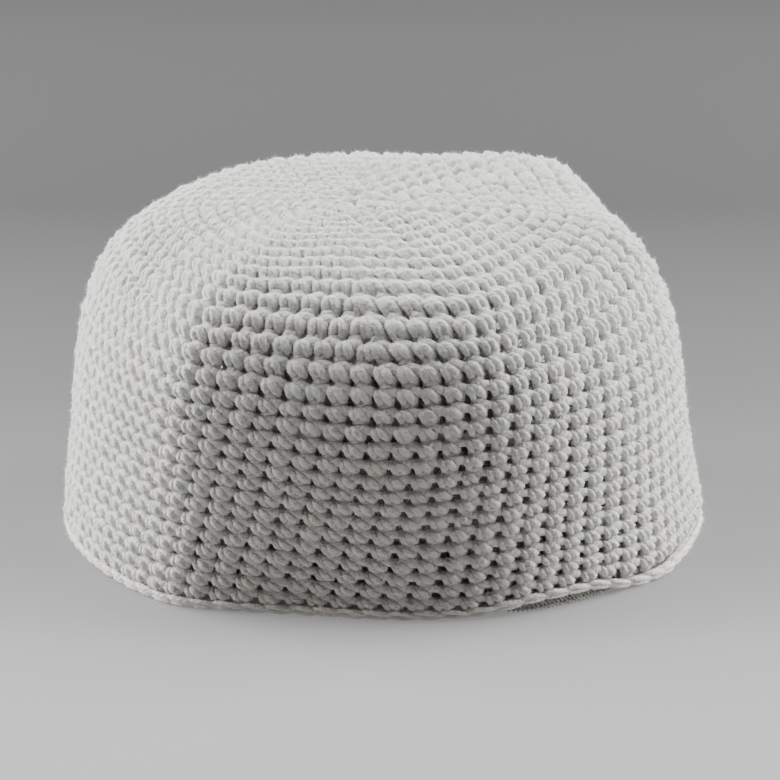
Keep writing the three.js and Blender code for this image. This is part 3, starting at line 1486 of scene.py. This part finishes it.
@dataclass
class Edging:
    """The chain worked along the rim, on a sheet that goes reach millimetres above and below it."""

    finish: YarnFinish
    hand: Hand = Hand(across=0.0006, down=0.12, out=0.12 * MM, girth=0.08, lumps=0.3 * MM)
    links: int = 84
    sides: int = 8
    seed: int = 31
    reach: float = 4.0

    def place(self, turns: np.ndarray, rows: np.ndarray) -> tuple[np.ndarray, np.ndarray]:
        """Gives places about the chain's middle.

        Args:
            turns: the part of a turn at which each place lies.
            rows: how many millimetres each place lies below the chain's middle.

        Returns:
            The points, and the directions away from the cap.
        """
        angles = heading(turns)
        out = flat_unit(FORM.outward(np.full_like(angles, LAST_ROUND), angles))
        points = FORM.point(np.full_like(angles, LAST_ROUND), angles) - out * (FABRIC_THICKNESS / 2)
        points[..., 2] -= CLEARANCE + EDGING_THICKNESS / 2 + rows * MM
        return points, out

    def build(self, work: Work) -> bpy.types.Object:
        """Works the chain.

        Args:
            work: the tree that lays strands.

        Returns:
            The chain.
        """
        rows = np.arange(-self.reach, self.reach + 0.5)
        sheet = FormSheet("rim_form", rows, self.place)
        values = {"Sides": self.sides, "Seed": self.seed, "Material": self.finish.build()}
        return work.border("rim_chain", CHAIN_LINK, sheet, self.links, self.hand.inputs() | values)

    def dress(self, pieces: list[bpy.types.Object]) -> None:
        """Ties the chain to the frame.

        Args:
            pieces: the chain and its fibres.
        """
        for piece in pieces:
            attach(piece, "root")
            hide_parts("rim_edging")
            report(piece)


class Kick(NamedTuple):
    """How far the tape leans out at a height where the rim is lifted, in millimetres."""

    z: float
    out: float


KICKS = (Kick(0, 3.7), Kick(2.2, 3.2), Kick(4.4, 0.3), Kick(9, 0), Kick(22, 0))


@dataclass
class Tape:
    """The ribbed tape sewn inside the rim, with its sizes in millimetres.

    lowest is the height below which it hangs straight down, behind its distance from the crochet's
    inner face and lines the rows of points of its ground.
    """

    finish: TapeFinishWithPaintedShade
    width: float = 22.0
    lowest: float = 4.0
    behind: float = 1.3
    half_thickness: float = 0.22
    hand: Hand = Hand(across=0.0001, down=0.05, out=0.02 * MM, girth=0.08, lumps=0.3 * MM)
    ribs: int = 470
    sides: int = 5
    seed: int = 41
    columns: int = 240
    lines: tuple[float, ...] = (0.2, 4, 8, 13, 16, 17.6, 19.2, 21.4)
    halvings: int = 16

    def place(self, turns: np.ndarray, rows: np.ndarray) -> tuple[np.ndarray, np.ndarray]:
        """Gives places on the tape's middle surface.

        Args:
            turns: the part of a turn at which each place lies.
            rows: each place's distance below the tape's upper edge, in millimetres.

        Returns:
            The points, and the directions away from the cap.
        """
        angles = heading(turns)
        height = self.width - rows
        rounds = self.round_at(np.maximum(height, self.lowest) * MM, angles)
        out = flat_unit(FORM.outward(rounds, angles))
        lifted = 1 - smoothstep(np.abs(turn(LIFT.angle, angles)), LIFT.level, LIFT.width)
        kick = np.interp(height, [k.z for k in KICKS], [k.out for k in KICKS]) * lifted
        depth = FABRIC_THICKNESS + (self.behind - kick) * MM
        points = FORM.point(rounds, angles) - out * depth[..., None]
        points[..., 2] = height * MM
        return points, out

    def round_at(self, height: np.ndarray, angles: np.ndarray) -> np.ndarray:
        """Finds the round at which the cap's outer face is at a height, by halving.

        Args:
            height: the heights, in metres.
            angles: the direction of each, in degrees.

        Returns:
            The rounds.
        """
        low = np.full_like(angles, WALL_TOP_ROUND)
        high = np.full_like(angles, LAST_ROUND)
        for _ in range(self.halvings):
            middle = (low + high) / 2
            above = FORM.point(middle, angles)[..., 2] > height
            low = np.where(above, middle, low)
            high = np.where(above, high, middle)
        return (low + high) / 2

    def build(self, work: Work) -> tuple[bpy.types.Object, bpy.types.Object]:
        """Makes the tape's ground and its ribs.

        Args:
            work: the tree that lays strands.

        Returns:
            The ground and the ribs.
        """
        material = self.finish.build()
        ground = self._ground()
        ground.data.materials.append(material)
        sheet = FormSheet("tape_form", np.arange(0, self.width + 0.5), self.place)
        values = {"Sides": self.sides, "Seed": self.seed, "Material": material}
        ribs = work.border("tape_ribs", TAPE_RIB, sheet, self.ribs, self.hand.inputs() | values)
        return ground, ribs

    def _ground(self) -> bpy.types.Object:
        """Makes the thin cloth between the ribs, down its outer side and up its inner one.

        Returns:
            The ground.
        """
        lines, columns = np.array(self.lines), self.columns
        rows = np.concatenate([lines, lines[::-1]])
        sides = np.repeat([1.0, -1.0], len(lines)) * self.half_thickness * MM
        grid_rows, turns = np.meshgrid(rows, np.arange(columns) / columns, indexing="ij")
        points, out = self.place(turns, grid_rows)
        points = points + out * sides[:, None, None]
        faces = grid_faces(len(rows), columns, closed=True)
        last = (len(rows) - 1) * columns
        for c in range(columns):
            right = (c + 1) % columns
            faces.append((last + c, c, right, last + right))
        mesh = bpy.data.meshes.new("tape_ground")
        mesh.from_pydata(points.reshape(-1, 3).tolist(), [], faces)
        smooth(mesh)
        return show("tape_ground", mesh)

    def dress(
        self, ground: bpy.types.Object, ribs: bpy.types.Object, neighbours: list[bpy.types.Object]
    ) -> None:
        """Ties the tape to the frame.

        Args:
            ground: the tape's cloth.
            ribs: its ribs.
            neighbours: the crochet that it is sewn to; not used.
        """
        for piece in (ground, ribs):
            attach(piece, "root")
            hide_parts("inner_band")
            report(piece)


def report(piece: bpy.types.Object) -> None:
    """Logs a piece and how many triangles it has."""
    triangles = sum(len(p.vertices) - 2 for p in piece.data.polygons)
    log.info("%s: %d triangles", piece.name, triangles)


# --- the room ------------------------------------------------------------------------------------


class Lamp(NamedTuple):
    """A soft light: where it hangs, its width and height, its power in watts and its colour."""

    name: str
    place: tuple[float, float, float]
    size: tuple[float, float]
    power: float
    colour: tuple[float, float, float]


@dataclass(frozen=True)
class Studio:
    """A pale floor that sweeps up behind, with a painted glow and painted falloff on it, soft lights
    and the camera.

    shades holds the floor's colour at places between its near end (0) and its far one (1): painted
    falloff, darker towards the back as if the lamps' light fell off there.
    dark_oval is the half width and depth of the ground inside the cap, which doesn't glow. The glow is
    painted light that lifts the shadow the cap casts on the floor; it begins at oval_edge, where 1 is
    the oval itself, and oval_fade says how quickly it comes in.
    sweep_angles, in radians, are where the floor's sweep begins and ends.
    """

    target: tuple[float, float, float] = (0.0019, 0.0, 0.0393)
    elevation: float = 18.0
    distance: float = 1.0
    lens: float = 156.6
    # strength of the floor's painted glow, which lifts the shadow that the cap casts
    glow: float = 1.1
    dark_oval: tuple[float, float] = (0.094, 0.084)
    oval_edge: float = 0.7
    oval_fade: float = 4.0
    # painted falloff: the floor's colour, darker towards the back
    shades: tuple[tuple[float, float], ...] = (
        (0.1, 0.23),
        (0.165, 0.225),
        (0.22, 0.147),
        (0.34, 0.079),
        (0.55, 0.041),
        (0.82, 0.061),
        (1.0, 0.061),
    )
    shades_from: float = -0.3
    shades_depth: float = 1.2
    floor_near: float = -2.5
    floor_far: float = 0.9
    floor_steps: int = 18
    sweep_radius: float = 0.6
    sweep_angles: tuple[float, float] = (0.1, 1.57)
    sweep_steps: int = 14
    backdrop_height: float = 3.0
    half_width: float = 3.0
    room_colour: Colour = (1.0, 0.9, 0.76, 1.0)
    room_strength: float = 0.04
    aim: tuple[float, float, float] = (0.0, 0.0, 0.05)
    lamps: tuple[Lamp, ...] = (
        Lamp("left_light", (-0.85, 0.28, 0.36), (0.7, 0.9), 33.0, (1.0, 1.0, 1.0)),
        Lamp("right_light", (0.85, 0.3, 0.4), (0.7, 0.9), 31.5, (1.0, 1.0, 1.0)),
        Lamp("top_light", (0.0, 0.33, 0.95), (1.6, 1.0), 14.3, (0.98, 1.0, 1.02)),
    )

    def camera(self) -> None:
        """Sets up the camera, level with the front and above the floor."""
        data = bpy.data.cameras.new("camera")
        data.lens = self.lens
        data.clip_start = 0.01
        camera = bpy.data.objects.new("camera", data)
        bpy.context.scene.collection.objects.link(camera)
        tilt = math.radians(self.elevation)
        back = Vector((0.0, -math.cos(tilt), math.sin(tilt)))
        camera.location = Vector(self.target) + back * self.distance
        camera.rotation_euler = (math.radians(90.0 - self.elevation), 0.0, 0.0)
        bpy.context.scene.camera = camera

    def floor(self) -> None:
        """Makes the floor, its sweep and the backdrop."""
        bend = np.linspace(*self.sweep_angles, self.sweep_steps)
        level = np.linspace(self.floor_near, self.floor_far, self.floor_steps)
        depth = np.concatenate([level, self.floor_far + self.sweep_radius * np.sin(bend)])
        height = self.sweep_radius - self.sweep_radius * np.cos(bend)
        height = np.concatenate([np.zeros_like(level), height])
        depth = np.append(depth, self.floor_far + self.sweep_radius)
        height = np.append(height, self.backdrop_height)
        sides = (-self.half_width, self.half_width)
        points = [(x, y, z) for y, z in zip(depth, height) for x in sides]
        mesh = bpy.data.meshes.new("floor")
        mesh.from_pydata(points, [], [tuple(reversed(f)) for f in grid_faces(len(depth), 2)])
        smooth(mesh)
        floor = show("floor", mesh)
        floor.data.materials.append(self._paper_with_painted_light())

    def _paper_with_painted_light(self) -> bpy.types.Material:
        """Makes the floor's matt paper, with a painted glow all round the cap but not inside it, and
        painted falloff towards the back.

        Returns:
            The material.
        """
        material, graph = new_material("pale_paper")
        place = graph.node("ShaderNodeTexCoord")["Object"]
        across, back, _ = graph.parts(place)
        wide, deep = self.dark_oval
        oval = (across / wide).math("POWER", 2.0) + (back / deep).math("POWER", 2.0)
        # painted glow: the floor shines outside the oval to lift the cap's contact shadow, and stays
        # dark inside the cap
        painted_glow_mask = (oval - self.oval_edge) * self.oval_fade
        painted_glow_mask = painted_glow_mask.math("MAXIMUM", 0.0).math("MINIMUM", 1.0)
        # painted falloff: the floor's tone darkens along its depth
        stops = [(position, (shade, shade, shade, 1.0)) for position, shade in self.shades]
        back_share = (back - self.shades_from) / self.shades_depth
        tone = graph.node("ShaderNodeValToRGB", {"stops": stops}, {"Fac": back_share})["Color"]
        shader = graph.principled(
            {
                "Base Color": tone,
                "Roughness": 0.7,
                "Emission Color": graph.blend(painted_glow_mask, (0.0, 0.0, 0.0, 1.0), tone),
                "Emission Strength": self.glow,
            }
        )
        graph.surface(shader)
        return material

    def light(self, lamp: Lamp) -> None:
        """Hangs a soft light that faces the cap.

        Args:
            lamp: the light.
        """
        data = bpy.data.lights.new(lamp.name, "AREA")
        data.shape = "RECTANGLE"
        data.size, data.size_y = lamp.size
        data.energy = lamp.power
        data.color = lamp.colour
        light = bpy.data.objects.new(lamp.name, data)
        bpy.context.scene.collection.objects.link(light)
        light.location = lamp.place
        towards = Vector(self.aim) - Vector(lamp.place)
        light.rotation_euler = towards.to_track_quat("-Z", "Y").to_euler()

    def build(self) -> None:
        """Makes the whole room."""
        self.camera()
        self.floor()
        for lamp in self.lamps:
            self.light(lamp)
        world = bpy.data.worlds.new("room")
        world.use_nodes = True
        background = world.node_tree.nodes["Background"]
        background.inputs["Color"].default_value = self.room_colour
        background.inputs["Strength"].default_value = self.room_strength
        bpy.context.scene.world = world


def main() -> None:
    """Builds the room and the cap, piece by piece."""
    logging.basicConfig(level=logging.INFO, format="%(name)s: %(message)s")
    Studio().build()
    work = Work()
    crochet = Crochet(WARM_WHITE)
    stitches = crochet.build(work)
    edging = Edging(CREAM_WITH_PAINTED_LIGHT)
    chain = edging.build(work)
    bloom = Bloom(FibreFinish("loose_fibre", WARM_WHITE.pale))
    *fibres, chain_fibres = bloom.build([*stitches, chain])
    crochet.dress(stitches + fibres)
    edging.dress([chain, chain_fibres])
    tape = Tape(TapeFinishWithPaintedShade())
    ground, ribs = tape.build(work)
    sewn_to = ("rim_stitches", "lower_wall_stitches")
    tape.dress(ground, ribs, [piece for piece in stitches if piece.name in sewn_to])


if __name__ == "__main__":
    main()
